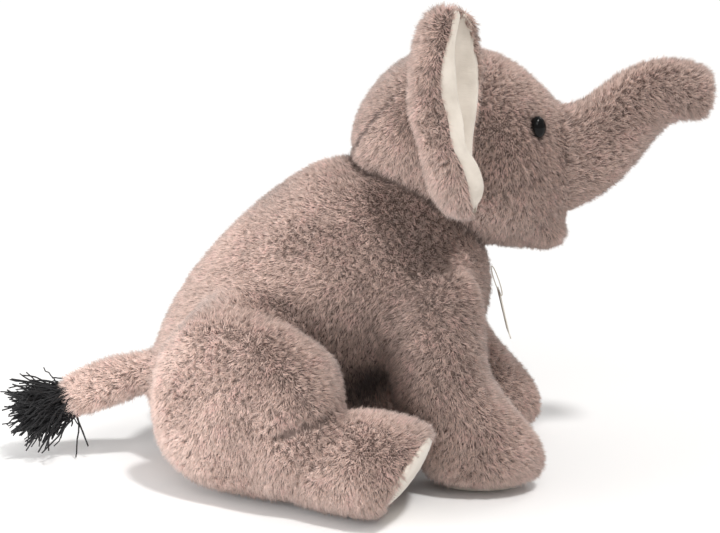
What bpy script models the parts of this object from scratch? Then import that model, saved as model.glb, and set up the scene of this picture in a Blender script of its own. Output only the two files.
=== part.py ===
"""Seated plush elephant: sewn covers, stuffing, soles, ears, safety eyes, tufted tail and a paper hang tag.

Metres, +Z up. The elephant sits on the plane Z = 0 and faces +X; its left side is +Y. The origin is under the
middle of its bounding box. Every soft form is a coarse cage of rings with a Subdivision Surface modifier. A
cover is that form less a slightly smaller one, and its stuffing is a smaller one again.
"""
import math

import bmesh
import bpy
from mathutils import Matrix, Vector

# ---------------------------------------------------------------- driving dimensions
COVER = 0.003  # thickness of the plush fabric
GAP = 0.0004  # clearance between pieces that touch
FILL_INSET = COVER + 0.0012  # stuffing lies this far inside the cover's outer face
PLAY = 0.0006  # clearance between a limb and the body side it turns against
ROOT_MOUTH = 0.004  # the hollow in a limb's cover runs this far out of its root, so that it is open there
RING_POINTS = 8
OVERALL_SHIFT = Vector((0.0018, 0.0, 0.0))  # puts the origin under the middle of the bounding box
SEAM_GAP = 0.0003  # between the left and right panels at the middle seam
BEYOND = 0.4  # a cutting box reaches at least this far past everything
CLEAR = 0.01  # a cutting tool passes this far beyond the face it cuts
FACE_OFFSET = 0.0001  # keeps the faces of two cutting tools out of one plane

HIP_SIDE = 0.0447  # the body's flat side beside a hind leg, from the middle plane
THIGH_CENTRE = Vector((-0.0620, HIP_SIDE, 0.0492))
HIP = Vector((-0.1080, HIP_SIDE, 0.0492))  # the leg splays about an upright line at the back of the thigh
THIGH_POCKET_RADIUS = 0.0585
SHOULDER_SIDE = 0.0327  # the body's flat side beside a foreleg
SHOULDER = Vector((0.0430, SHOULDER_SIDE, 0.0901))
SHOULDER_POCKET_RADIUS = 0.0340
POCKET_DEPTH = 0.10  # a pocket cuts this far outwards, past the body's side
FORELEG_PATH_BACK = 0.009  # the foreleg turns in front of this X
FORELEG_PATH_FRONT = 0.12
FORELEG_STEP = 0.0075  # how far the left forefoot stands ahead of the right one
SEAT_FILL_TOP = 0.0266  # top of the granule bag in the seat

NECK = Vector((0.0310, 0.0, 0.1434))
TRUNK_ROOT = Vector((0.1165, 0.0, 0.1649))
TAIL_ROOT = Vector((-0.1310, 0.0, 0.0415))
EAR_HINGE = Vector((0.0640, 0.0552, 0.1946))

SOLE = 0.0025  # thickness of a sole disc
FORE_SOLE = Vector((0.0630, 0.0570, 0.0))
FORE_SOLE_SIZE = (0.0290, 0.0270)
HIND_SOLE = Vector((0.0262, 0.1045, 0.0210))
HIND_SOLE_SIZE = (0.0205, 0.0260)
HIND_SOLE_YAW = 13.0
HIND_SOLE_PITCH = 28.0
TRUNK_TIP = Vector((0.1908, 0.0, 0.2019))
TRUNK_TIP_SIZE = (0.0125, 0.0130)
TRUNK_TIP_THICK = 0.0017
TRUNK_TIP_PITCH = math.radians(-5)

EYE_RADIUS = 0.0049
EYE_X = 0.0925
EYE_Z = 0.1866
EYE_LIFT = 0.0002  # the dome's flat face stands this far off the cover
SHANK_RADIUS = 0.0016
SHANK_LENGTH = 0.0085
SHANK_ROOT = 0.0005  # the shank starts this far inside the dome
SHANK_PLAY = 0.0004  # round the shank in the cover's hole
WASHER_RADIUS = 0.0060
WASHER_THICK = 0.0012
WASHER_DEPTH = 0.0050  # from the cover's outer face to the washer's
WASHER_PLAY = 0.0003  # round the shank in the washer's bore
WASHER_ROOM = 0.0015  # round the washer in the stuffing
WASHER_ROOM_LENGTH = 0.024

EAR_LAYER = 0.0030
TAG_HOLE = Vector((0.0820, 0.0, 0.0915))
TAG_SIZE = (0.0006, 0.0220, 0.0290)
TAG_LEAN = 8.0
LOOP_HALF = (0.0050, 0.0095)
LOOP_THREAD = 0.0007
LOOP_POINTS = 20
LOOP_SAG = 0.0003  # the thread's lowest point lies this far under the hole's middle
TAG_HEAD = 0.0032  # card above the hole's middle
TAG_HOLE_RADIUS = 0.0016


# ---------------------------------------------------------------- scene, materials and small tools
def clear_scene():
    for obj in list(bpy.data.objects):
        bpy.data.objects.remove(obj, do_unlink=True)


def collection(name):
    made = bpy.data.collections.new(name)
    bpy.context.scene.collection.children.link(made)
    return made


def material(name, colour, roughness):
    made = bpy.data.materials.new(name)
    made.use_nodes = True
    shader = made.node_tree.nodes["Principled BSDF"]
    shader.inputs["Base Color"].default_value = (*colour, 1.0)
    shader.inputs["Roughness"].default_value = roughness
    shader.inputs["Metallic"].default_value = 0.0
    made.diffuse_color = (*colour, 1.0)
    return made


def empty(name, place, parent=None):
    """A joint's pivot: the pieces that turn with the joint hang from it."""
    pivot = bpy.data.objects.new(name, None)
    PARTS.objects.link(pivot)
    pivot.empty_display_size = 0.01
    pivot.parent = parent
    pivot.location = place - (parent_place(parent) if parent else Vector())
    return pivot


def parent_place(obj):
    place = obj.location.copy()
    while obj.parent:
        obj = obj.parent
        place += obj.location
    return place - OVERALL_SHIFT


def put(obj, finish, pivot):
    """Give a piece its material and hang it from its pivot without moving it."""
    PARTS.objects.link(obj)
    obj.data.materials.append(finish)
    obj.parent = pivot
    obj.location = obj.location - parent_place(pivot)
    if obj.type == "MESH":
        obj.data.shade_smooth()
        obj.data.set_sharp_from_angle(angle=math.radians(40))
    return obj


def new_mesh_object(name, mesh_data):
    bmesh.ops.recalc_face_normals(mesh_data, faces=mesh_data.faces)
    mesh = bpy.data.meshes.new(name)
    mesh_data.to_mesh(mesh)
    mesh_data.free()
    return bpy.data.objects.new(name, mesh)


def subdivide(obj, levels=1):
    modifier = obj.modifiers.new("Smooth form", "SUBSURF")
    modifier.levels = levels
    modifier.render_levels = levels


def cutter(obj):
    CUTTERS.objects.link(obj)
    obj.hide_render = True
    obj.display_type = "WIRE"
    obj.location = obj.location + OVERALL_SHIFT
    return obj


def cut(obj, tool):
    modifier = obj.modifiers.new("Cut by " + tool.name, "BOOLEAN")
    modifier.operation = "DIFFERENCE"
    modifier.solver = "EXACT"
    modifier.object = tool


def box_cutter(name, low, high):
    made = bmesh.new()
    middle = (Vector(low) + Vector(high)) / 2
    size = Vector(high) - Vector(low)
    bmesh.ops.create_cube(made, size=1.0, matrix=Matrix.Translation(middle) @ Matrix.Diagonal((*size, 1.0)))
    return cutter(new_mesh_object(name, made))


def cylinder_mesh(radius, depth, matrix, segments=24):
    made = bmesh.new()
    bmesh.ops.create_cone(made, cap_ends=True, segments=segments, radius1=radius, radius2=radius,
                          depth=depth, matrix=matrix)
    return made


def side_name(side):
    return "left" if side > 0 else "right"


# ---------------------------------------------------------------- soft forms
class Ring:
    """One cross-section of a soft form: an ellipse of half sizes `along` and `across`.

    `along` runs in the XZ plane at `angle` degrees above +X; `across` runs along Y, turned by `yaw` degrees.
    """

    def __init__(self, x, z, along, across, angle=90.0, y=0.0, yaw=0.0):
        self.centre = Vector((x, y, z))
        self.along = along
        self.across = across
        turn = math.radians(angle)
        self.first = Vector((math.cos(turn), 0.0, math.sin(turn)))
        swing = math.radians(yaw)
        self.second = Vector((-math.sin(swing), math.cos(swing), 0.0))


def ring_points(ring, inset, shift, inner_limit, floor):
    """The cage points of a ring, slightly wide because subdivision draws a cage inwards."""
    step = 2 * math.pi / RING_POINTS
    widen = 3 / (2 + math.cos(step))
    for index in range(RING_POINTS):
        turn = index * step
        point = ring.centre + shift
        point = point + ring.first * (math.cos(turn) * (ring.along - inset) * widen)
        point = point + ring.second * (math.sin(turn) * (ring.across - inset) * widen)
        if inner_limit is not None:
            point.y = max(point.y, inner_limit + inset)
        if floor is not None:
            point.z = max(point.z, floor + inset)
        yield point


def end_normal(ring, far_ring):
    """The direction square to an end ring that points into the form."""
    normal = ring.first.cross(ring.second)
    return normal if normal.dot(far_ring.centre - ring.centre) > 0 else -normal


def soft_cage(name, rings, side=1, inset=0.0, open_root=0.0, inner_limit=None, floor=None, offset=Vector()):
    """A closed cage through the rings. With an inset it is the same form, smaller all round.

    `open_root` pushes the first ring outwards instead, so that a hollow cut with this form has a mouth there.
    """
    made = bmesh.new()
    rows = []
    for index, ring in enumerate(rings):
        shift = Vector()
        if index == 0:
            inward = end_normal(ring, rings[-1])
            shift = -inward * open_root if open_root else inward * inset
        elif index == len(rings) - 1:
            shift = end_normal(ring, rings[0]) * inset
        points = ring_points(ring, inset, shift, inner_limit, floor)
        rows.append([made.verts.new((p.x + offset.x, side * p.y, p.z + offset.z)) for p in points])
    for lower, upper in zip(rows, rows[1:]):
        for index in range(RING_POINTS):
            following = (index + 1) % RING_POINTS
            made.faces.new((lower[index], lower[following], upper[following], upper[index]))
    made.faces.new(rows[0])
    made.faces.new(rows[-1])
    return new_mesh_object(name, made)


def soft_piece(name, rings, **form):
    obj = soft_cage(name, rings, **form)
    subdivide(obj)
    return obj


def sewn_limb(label, rings, finish, pivot, filling, **form):
    """A plush cover, hollow and open at its root, and the stuffing inside it."""
    cover = put(soft_piece(label + "_cover", rings, **form), finish, pivot)
    hollow = cutter(soft_piece(label + "_hollow", rings, inset=COVER, open_root=ROOT_MOUTH, **form))
    cut(cover, hollow)
    put(soft_piece(label + "_stuffing", rings, inset=FILL_INSET, **form), filling, pivot)
    return cover


def disc(name, centre, size, thickness, outward, upward, finish, pivot):
    """A flat oval of fabric: `size` is its half height and half width, and its inner face is at `centre`."""
    across = upward.cross(outward)
    turn = Matrix((upward, across, outward)).transposed().to_4x4()
    matrix = Matrix.Translation(centre + outward * thickness / 2) @ turn @ Matrix.Diagonal((*size, 1.0, 1.0))
    made = cylinder_mesh(1.0, thickness, matrix, segments=28)
    return put(new_mesh_object(name, made), finish, pivot)


# ---------------------------------------------------------------- body
BODY_RINGS = [
    Ring(-0.0460, 0.0000, 0.0260, 0.0240, 0),
    Ring(-0.0480, 0.0000, 0.0460, 0.0370, 0),
    Ring(-0.0515, 0.0123, 0.0620, 0.0430, 0),
    Ring(-0.0520, 0.0348, 0.0665, 0.0435, 0),
    Ring(-0.0430, 0.0594, 0.0720, 0.0460, -6),
    Ring(-0.0200, 0.0799, 0.0801, 0.0600, -12),
    Ring(-0.0020, 0.1014, 0.0757, 0.0640, -20),
    Ring(0.0125, 0.1188, 0.0694, 0.0590, -29),
    Ring(0.0215, 0.1316, 0.0590, 0.0520, -36),
    Ring(0.0285, 0.1393, 0.0434, 0.0420, -37),
    Ring(0.0315, 0.1431, 0.0202, 0.0200, -37),
]


def limb_pockets(side):
    """Room beside the body for the thigh and the shoulder, which turn beside its flat sides."""
    tools = []
    for label, centre, radius in (("thigh", THIGH_CENTRE, THIGH_POCKET_RADIUS),
                                  ("shoulder", SHOULDER, SHOULDER_POCKET_RADIUS)):
        middle = Vector((centre.x, side * (centre.y + POCKET_DEPTH / 2), centre.z))
        matrix = Matrix.Translation(middle) @ Matrix.Rotation(math.radians(90), 4, "X")
        made = cylinder_mesh(radius, POCKET_DEPTH, matrix, segments=32)
        tools.append(cutter(new_mesh_object(f"{label}_pocket_{side_name(side)}", made)))
    inner, outer = sorted((side * (SHOULDER_SIDE + FACE_OFFSET), side * POCKET_DEPTH))
    tools.append(box_cutter(f"foreleg_path_{side_name(side)}", (FORELEG_PATH_BACK, inner, -CLEAR),
                            (FORELEG_PATH_FRONT, outer, SHOULDER.z)))
    return tools


def half_cutter(side):
    """Everything on the other side of the middle plane."""
    low, high = sorted((-side * BEYOND, side * SEAM_GAP / 2))
    return box_cutter(f"other_side_of_{side_name(side)}", (-BEYOND, low, -BEYOND), (BEYOND, high, BEYOND))


def build_body():
    pockets = {side: limb_pockets(side) for side in (1, -1)}
    hollow = cutter(soft_piece("body_hollow", BODY_RINGS, inset=COVER, floor=0.0))
    for side in (1, -1):
        panel = put(soft_piece(f"body_panel_{side_name(side)}", BODY_RINGS, floor=0.0), PLUSH, ROOT)
        cut(panel, hollow)
        cut(panel, HALVES[side])
        for tool in pockets[side]:
            cut(panel, tool)
    top_of_seat = box_cutter("above_seat_bag", (-BEYOND, -BEYOND, SEAT_FILL_TOP), (BEYOND, BEYOND, BEYOND))
    seat = box_cutter("below_stuffing", (-BEYOND, -BEYOND, -BEYOND), (BEYOND, BEYOND, SEAT_FILL_TOP + GAP))
    bag = put(soft_piece("seat_granule_bag", BODY_RINGS, inset=FILL_INSET, floor=0.0), COTTON, ROOT)
    cut(bag, top_of_seat)
    stuffing = put(soft_piece("body_stuffing", BODY_RINGS, inset=FILL_INSET, floor=0.0), FILLING, ROOT)
    cut(stuffing, seat)
    for side in (1, -1):
        for tool in pockets[side]:
            cut(stuffing, tool)


# ---------------------------------------------------------------- head
HEAD_RINGS = [
    Ring(-0.0005, 0.1807, 0.0061, 0.0110),
    Ring(0.0045, 0.1833, 0.0164, 0.0250),
    Ring(0.0160, 0.1874, 0.0297, 0.0400),
    Ring(0.0340, 0.1884, 0.0430, 0.0510),
    Ring(0.0560, 0.1807, 0.0532, 0.0545),
    Ring(0.0760, 0.1715, 0.0573, 0.0505),
    Ring(0.0925, 0.1664, 0.0502, 0.0415),
    Ring(0.1045, 0.1654, 0.0353, 0.0300),
    Ring(0.1090, 0.1651, 0.0195, 0.0180),
]
LIP_CENTRE = Vector((0.0965, 0.0, 0.1241))
LIP_SIZE = (0.0175, 0.0200, 0.0098)


def build_head(pivot):
    hollow = cutter(soft_piece("head_hollow", HEAD_RINGS, inset=COVER))
    panels = {}
    for side in (1, -1):
        panel = put(soft_piece(f"head_panel_{side_name(side)}", HEAD_RINGS), PLUSH, pivot)
        cut(panel, hollow)
        cut(panel, HALVES[side])
        panels[side] = panel
    stuffing = put(soft_piece("head_stuffing", HEAD_RINGS, inset=FILL_INSET), FILLING, pivot)
    surface = cutter(soft_piece("head_form", HEAD_RINGS, inset=-GAP))
    lip = bmesh.new()
    matrix = Matrix.Translation(LIP_CENTRE) @ Matrix.Diagonal((*LIP_SIZE, 1.0))
    bmesh.ops.create_uvsphere(lip, u_segments=16, v_segments=10, radius=1.0, matrix=matrix)
    lip = put(new_mesh_object("lower_lip", lip), PLUSH, pivot)
    cut(lip, surface)
    for side in (1, -1):
        build_eye(side, surface, panels[side], stuffing, pivot)


def build_eye(side, surface, panel, stuffing, pivot):
    """A safety eye: a dome with a shank through the cover, held by a washer inside."""
    bpy.context.view_layer.update()
    form = surface.evaluated_get(bpy.context.evaluated_depsgraph_get())
    start = Vector((EYE_X, side * BEYOND, EYE_Z))
    found, place, normal, _ = form.ray_cast(start, Vector((0.0, -side, 0.0)))
    if not found:
        raise ValueError("the eye misses the head")
    turn = normal.to_track_quat("Z", "Y").to_matrix().to_4x4()
    frame = Matrix.Translation(place) @ turn
    label = side_name(side)

    dome = bmesh.new()
    bmesh.ops.create_uvsphere(dome, u_segments=16, v_segments=10, radius=EYE_RADIUS,
                              matrix=frame @ Matrix.Translation((0, 0, EYE_LIFT)))
    plane = place + normal * EYE_LIFT
    flat = bmesh.ops.bisect_plane(dome, geom=dome.verts[:] + dome.edges[:] + dome.faces[:], plane_co=plane,
                                  plane_no=normal, clear_inner=True, dist=1e-6)
    rim = [item for item in flat["geom_cut"] if isinstance(item, bmesh.types.BMEdge)]
    bmesh.ops.contextual_create(dome, geom=rim)
    eye = put(new_mesh_object(f"eye_{label}", dome), EYE_BLACK, pivot)
    shank = cylinder_mesh(SHANK_RADIUS, SHANK_LENGTH + 2 * SHANK_ROOT,
                          frame @ Matrix.Translation((0, 0, SHANK_ROOT - SHANK_LENGTH / 2)), segments=16)
    tool = cutter(new_mesh_object(f"shank_{label}", shank))
    join = eye.modifiers.new("Shank", "BOOLEAN")
    join.operation = "UNION"
    join.object = tool

    hole = cylinder_mesh(SHANK_RADIUS + SHANK_PLAY, 2 * CLEAR, frame, segments=16)
    cut(panel, cutter(new_mesh_object(f"shank_hole_{label}", hole)))
    room = cylinder_mesh(WASHER_RADIUS + WASHER_ROOM, WASHER_ROOM_LENGTH, frame, segments=20)
    cut(stuffing, cutter(new_mesh_object(f"washer_room_{label}", room)))
    washer_place = frame @ Matrix.Translation((0, 0, -WASHER_DEPTH - WASHER_THICK / 2))
    washer = cylinder_mesh(WASHER_RADIUS, WASHER_THICK, washer_place, segments=20)
    washer = put(new_mesh_object(f"eye_washer_{label}", washer), WASHER_WHITE, pivot)
    bore = cylinder_mesh(SHANK_RADIUS + WASHER_PLAY, CLEAR, washer_place, segments=16)
    cut(washer, cutter(new_mesh_object(f"washer_bore_{label}", bore)))


# ---------------------------------------------------------------- trunk
TRUNK_RINGS = [
    Ring(0.1105, 0.1644, 0.0133, 0.0120, 91),
    Ring(0.1145, 0.1654, 0.0276, 0.0235, 93),
    Ring(0.1240, 0.1695, 0.0309, 0.0265, 102),
    Ring(0.1385, 0.1807, 0.0283, 0.0250, 117),
    Ring(0.1530, 0.1971, 0.0233, 0.0220, 112),
    Ring(0.1655, 0.2051, 0.0192, 0.0190, 96),
    Ring(0.1780, 0.2048, 0.0174, 0.0175, 88),
    Ring(0.1860, 0.2031, 0.0160, 0.0162, 85),
    Ring(0.1902, 0.2022, 0.0138, 0.0140, 85),
]


def build_trunk(pivot):
    sewn_limb("trunk", TRUNK_RINGS, PLUSH, pivot, FILLING)
    outward = Vector((math.cos(TRUNK_TIP_PITCH), 0, math.sin(TRUNK_TIP_PITCH)))
    upward = Vector((-outward.z, 0, outward.x))
    disc("trunk_tip", TRUNK_TIP, TRUNK_TIP_SIZE, TRUNK_TIP_THICK, outward, upward, PLUSH, pivot)


# ---------------------------------------------------------------- ears
EAR_CURVE = [(0.0600, 0.0554), (0.0400, 0.0602), (0.0265, 0.0692), (0.0300, 0.0807), (0.0470, 0.0864)]
EAR_ROWS = [(0.0, 0.30), (0.12, 0.70), (0.36, 0.98), (0.64, 0.98), (0.88, 0.70), (1.0, 0.32)]
EAR_BOTTOM = 0.1418
EAR_TOP = 0.2500
EAR_AXIS = Vector((0.0450, 0.0652))
EAR_LEAN = 0.011  # the bottom of the ear is sewn this far ahead of its middle
EAR_LEAST_FOLD = 0.35  # the fold's depth at a row of no width, as a share of its full depth
LEFT_EAR_DROP = Vector((0.0040, 0.0, -0.0061))  # the left ear is sewn a little lower and further forward


def ear_sheet(name, side):
    """The open surface where the two ear layers meet: a tall leaf folded lengthwise, its rim in front."""
    made = bmesh.new()
    rows = []
    for height, scale in EAR_ROWS:
        lean = EAR_LEAN * (1 - height) ** 2
        fold = EAR_LEAST_FOLD + (1 - EAR_LEAST_FOLD) * scale
        row = []
        for x, y in EAR_CURVE:
            point = Vector((EAR_AXIS.x + (x - EAR_AXIS.x) * scale + lean,
                            side * (EAR_AXIS.y + (y - EAR_AXIS.y) * fold),
                            EAR_BOTTOM + (EAR_TOP - EAR_BOTTOM) * height))
            row.append(made.verts.new(point + (LEFT_EAR_DROP if side > 0 else Vector())))
        rows.append(row)
    for lower, upper in zip(rows, rows[1:]):
        for index in range(len(EAR_CURVE) - 1):
            corners = (lower[index], lower[index + 1], upper[index + 1], upper[index])
            made.faces.new(corners if side > 0 else corners[::-1])
    mesh = bpy.data.meshes.new(name)
    made.to_mesh(mesh)
    made.free()
    obj = bpy.data.objects.new(name, mesh)
    subdivide(obj)
    return obj


def build_ear(side, pivot):
    """The plush layer is on the outside of the fold and the suede layer on the inside."""
    for label, finish, direction in (("outer", PLUSH, -1), ("inner", SUEDE, 1)):
        layer = put(ear_sheet(f"ear_{label}_{side_name(side)}", side), finish, pivot)
        lift = layer.modifiers.new("Stand off the seam surface", "DISPLACE")
        lift.mid_level = 0.0
        lift.strength = direction * GAP / 2
        thick = layer.modifiers.new("Fabric", "SOLIDIFY")
        thick.thickness = EAR_LAYER
        thick.offset = direction
        thick.use_even_offset = False


# ---------------------------------------------------------------- legs
FORELEG_RINGS = [
    Ring(0.0430, 0.1203, 0.0110, 0.0110, 0, y=0.0540),
    Ring(0.0430, 0.1137, 0.0220, 0.0200, 0, y=0.0560),
    Ring(0.0430, 0.0922, 0.0300, 0.0260, 0, y=0.0570),
    Ring(0.0400, 0.0614, 0.0265, 0.0260, 0, y=0.0570),
    Ring(0.0460, 0.0389, 0.0280, 0.0275, 0, y=0.0575),
    Ring(0.0635, 0.0195, 0.0345, 0.0310, 0, y=0.0580),
    Ring(0.0640, 0.0061, 0.0340, 0.0310, 0, y=0.0580),
    Ring(0.0630, SOLE + GAP, 0.0290, 0.0270, 0, y=0.0570),
]
HIND_LEG_RINGS = [
    Ring(-0.1130, 0.0451, 0.0164, 0.0110, y=0.0600),
    Ring(-0.1040, 0.0481, 0.0338, 0.0170, y=0.0635),
    Ring(-0.0860, 0.0512, 0.0476, 0.0245, y=0.0700),
    Ring(-0.0610, 0.0512, 0.0532, 0.0310, y=0.0770),
    Ring(-0.0350, 0.0410, 0.0492, 0.0350, y=0.0835),
    Ring(-0.0140, 0.0287, 0.0369, 0.0360, y=0.0925, yaw=4),
    Ring(0.0010, 0.0241, 0.0317, 0.0345, y=0.0985, angle=80, yaw=9),
    Ring(0.0150, 0.0236, 0.0296, 0.0315, y=0.1025, angle=70, yaw=12),
    Ring(0.0245, 0.0215, 0.0224, 0.0270, y=0.1040, angle=62, yaw=13),
]


def build_foreleg(side, pivot):
    label = f"foreleg_{side_name(side)}"
    step = Vector((FORELEG_STEP if side > 0 else 0.0, 0.0, 0.0))
    sewn_limb(label, FORELEG_RINGS, PLUSH, pivot, FILLING, side=side, offset=step,
              inner_limit=SHOULDER_SIDE + PLAY)
    centre = Vector((FORE_SOLE.x + step.x, side * FORE_SOLE.y, SOLE))
    disc(label.replace("foreleg", "fore_sole"), centre, FORE_SOLE_SIZE, SOLE, Vector((0, 0, -1)),
         Vector((1, 0, 0)), SUEDE, pivot)


def build_hind_leg(side, pivot):
    label = f"hind_leg_{side_name(side)}"
    sewn_limb(label, HIND_LEG_RINGS, PLUSH, pivot, FILLING, side=side,
              inner_limit=HIP_SIDE + PLAY, floor=0.0)
    yaw, pitch = math.radians(HIND_SOLE_YAW), math.radians(HIND_SOLE_PITCH)
    level = Vector((math.cos(yaw), side * math.sin(yaw), 0.0))
    outward = level * math.cos(pitch) - Vector((0.0, 0.0, math.sin(pitch)))
    upward = (Vector((0, 0, 1)) - outward * outward.z).normalized()
    centre = Vector((HIND_SOLE.x, side * HIND_SOLE.y, HIND_SOLE.z))
    disc(f"hind_sole_{side_name(side)}", centre, HIND_SOLE_SIZE, SOLE, outward, upward, SUEDE, pivot)


# ---------------------------------------------------------------- tail
TAIL_ANGLE = 111
TAIL_RINGS = [
    Ring(-0.1188, 0.0464, 0.0056, 0.0055, TAIL_ANGLE),
    Ring(-0.1215, 0.0454, 0.0123, 0.0115, TAIL_ANGLE),
    Ring(-0.1320, 0.0412, 0.0153, 0.0145, TAIL_ANGLE),
    Ring(-0.1480, 0.0348, 0.0141, 0.0135, TAIL_ANGLE),
    Ring(-0.1610, 0.0297, 0.0131, 0.0125, TAIL_ANGLE),
    Ring(-0.1645, 0.0284, 0.0110, 0.0105, TAIL_ANGLE),
]
TUFT_RINGS = [
    Ring(-0.1655, 0.0280, 0.0102, 0.0100, TAIL_ANGLE),
    Ring(-0.1720, 0.0256, 0.0153, 0.0140, TAIL_ANGLE),
    Ring(-0.1820, 0.0225, 0.0168, 0.0155, TAIL_ANGLE),
    Ring(-0.1920, 0.0195, 0.0128, 0.0115, TAIL_ANGLE),
    Ring(-0.1962, 0.0182, 0.0051, 0.0050, TAIL_ANGLE),
]


def build_tail(pivot):
    sewn_limb("tail", TAIL_RINGS, PLUSH, pivot, FILLING)
    put(soft_piece("tail_tuft", TUFT_RINGS), YARN, pivot)


# ---------------------------------------------------------------- hang tag
def build_tag(pivot):
    loop = bpy.data.curves.new("tag_loop", "CURVE")
    loop.dimensions = "3D"
    loop.bevel_depth = LOOP_THREAD
    loop.bevel_resolution = 2
    spline = loop.splines.new("POLY")
    spline.points.add(LOOP_POINTS - 1)
    centre = TAG_HOLE + Vector((0.0, 0.0, LOOP_HALF[1] - LOOP_SAG))
    for index, point in enumerate(spline.points):
        turn = 2 * math.pi * index / LOOP_POINTS
        point.co = (centre.x + LOOP_HALF[0] * math.cos(turn), 0.0,
                    centre.z + LOOP_HALF[1] * math.sin(turn), 1.0)
    spline.use_cyclic_u = True
    put(bpy.data.objects.new("tag_loop", loop), SUEDE, ROOT)

    lean = Matrix.Rotation(math.radians(-TAG_LEAN), 4, "Y")
    card = bmesh.new()
    drop = Matrix.Translation((0.0, 0.0, TAG_HEAD - TAG_SIZE[2] / 2))
    bmesh.ops.create_cube(card, size=1.0, matrix=Matrix.Translation(TAG_HOLE) @ lean @ drop
                          @ Matrix.Diagonal((*TAG_SIZE, 1.0)))
    card = put(new_mesh_object("hang_tag", card), CARD, pivot)
    across = Matrix.Translation(TAG_HOLE) @ lean @ Matrix.Rotation(math.radians(90), 4, "Y")
    hole = cylinder_mesh(TAG_HOLE_RADIUS, CLEAR, across, segments=20)
    cut(card, cutter(new_mesh_object("tag_hole", hole)))


# ---------------------------------------------------------------- assembly
clear_scene()
PARTS = collection("plush_elephant")
CUTTERS = collection("cutters")
PLUSH = material("taupe_plush", (0.36, 0.265, 0.235), 0.95)
SUEDE = material("cream_suede", (0.74, 0.68, 0.58), 0.85)
COTTON = material("cotton_bag", (0.80, 0.78, 0.72), 0.90)
FILLING = material("polyester_filling", (0.88, 0.88, 0.86), 1.00)
EYE_BLACK = material("black_eye", (0.010, 0.009, 0.009), 0.08)
WASHER_WHITE = material("white_washer", (0.75, 0.75, 0.73), 0.40)
YARN = material("black_yarn", (0.018, 0.017, 0.018), 0.85)
CARD = material("plain_card", (0.78, 0.75, 0.68), 0.70)

ROOT = bpy.data.objects.new("elephant_root", None)
PARTS.objects.link(ROOT)
ROOT.location = OVERALL_SHIFT
HALVES = {side: half_cutter(side) for side in (1, -1)}

build_body()
HEAD_PIVOT = empty("neck_pivot", NECK, ROOT)
build_head(HEAD_PIVOT)
build_trunk(empty("trunk_pivot", TRUNK_ROOT, HEAD_PIVOT))
for SIDE in (1, -1):
    NAME = side_name(SIDE)
    STEP = FORELEG_STEP if SIDE > 0 else 0.0
    HINGE_AT = Vector((EAR_HINGE.x + (LEFT_EAR_DROP.x if SIDE > 0 else 0.0), SIDE * EAR_HINGE.y, EAR_HINGE.z))
    SHOULDER_AT = Vector((SHOULDER.x + STEP, SIDE * SHOULDER.y, SHOULDER.z))
    HIP_AT = Vector((HIP.x, SIDE * HIP.y, HIP.z))
    build_ear(SIDE, empty(f"ear_pivot_{NAME}", HINGE_AT, HEAD_PIVOT))
    build_foreleg(SIDE, empty(f"shoulder_pivot_{NAME}", SHOULDER_AT, ROOT))
    build_hind_leg(SIDE, empty(f"hip_pivot_{NAME}", HIP_AT, ROOT))
build_tail(empty("tail_pivot", TAIL_ROOT, ROOT))
build_tag(empty("tag_pivot", TAG_HOLE, ROOT))
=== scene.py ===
import math

import bmesh
import bpy
import numpy as np
from mathutils import Matrix, Vector
from mathutils.bvhtree import BVHTree
from mathutils.kdtree import KDTree


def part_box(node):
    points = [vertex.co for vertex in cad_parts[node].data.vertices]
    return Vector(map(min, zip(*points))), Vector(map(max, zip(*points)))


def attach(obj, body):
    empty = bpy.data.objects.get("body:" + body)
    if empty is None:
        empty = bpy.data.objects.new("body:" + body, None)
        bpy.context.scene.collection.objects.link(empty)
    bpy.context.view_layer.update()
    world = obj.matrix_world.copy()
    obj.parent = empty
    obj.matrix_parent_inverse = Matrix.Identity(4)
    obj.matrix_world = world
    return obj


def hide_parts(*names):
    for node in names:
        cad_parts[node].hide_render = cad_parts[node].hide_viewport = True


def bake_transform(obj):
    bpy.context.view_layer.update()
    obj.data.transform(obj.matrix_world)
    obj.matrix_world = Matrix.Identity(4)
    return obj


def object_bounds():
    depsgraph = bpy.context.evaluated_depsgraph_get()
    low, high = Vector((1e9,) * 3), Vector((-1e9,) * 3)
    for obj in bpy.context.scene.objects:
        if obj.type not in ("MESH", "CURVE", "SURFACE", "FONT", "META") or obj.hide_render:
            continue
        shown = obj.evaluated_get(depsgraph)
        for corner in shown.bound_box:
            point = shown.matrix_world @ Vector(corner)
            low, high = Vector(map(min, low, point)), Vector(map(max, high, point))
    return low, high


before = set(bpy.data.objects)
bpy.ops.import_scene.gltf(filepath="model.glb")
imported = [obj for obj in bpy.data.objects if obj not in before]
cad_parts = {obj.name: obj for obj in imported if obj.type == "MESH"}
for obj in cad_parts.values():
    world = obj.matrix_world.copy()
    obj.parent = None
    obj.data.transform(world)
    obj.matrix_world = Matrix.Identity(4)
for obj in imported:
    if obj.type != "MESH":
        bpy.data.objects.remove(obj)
CAD_LOW, CAD_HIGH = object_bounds()

# Every size is in metres. The tables are in the toy's own frame: X forwards, Z up, Y = 0 its middle plane.
AHEAD = 0.0018  # from that frame to the CAD frame, along X
TALL = 1.024  # the tables' heights are of an elephant this much lower
PILE = 0.0028  # how far the woven backing lies under the tips of the pile
SIDES = {"left": 1, "right": -1}


def placed(x, y, z):
    return Vector((x + AHEAD, y, z * TALL))


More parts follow.
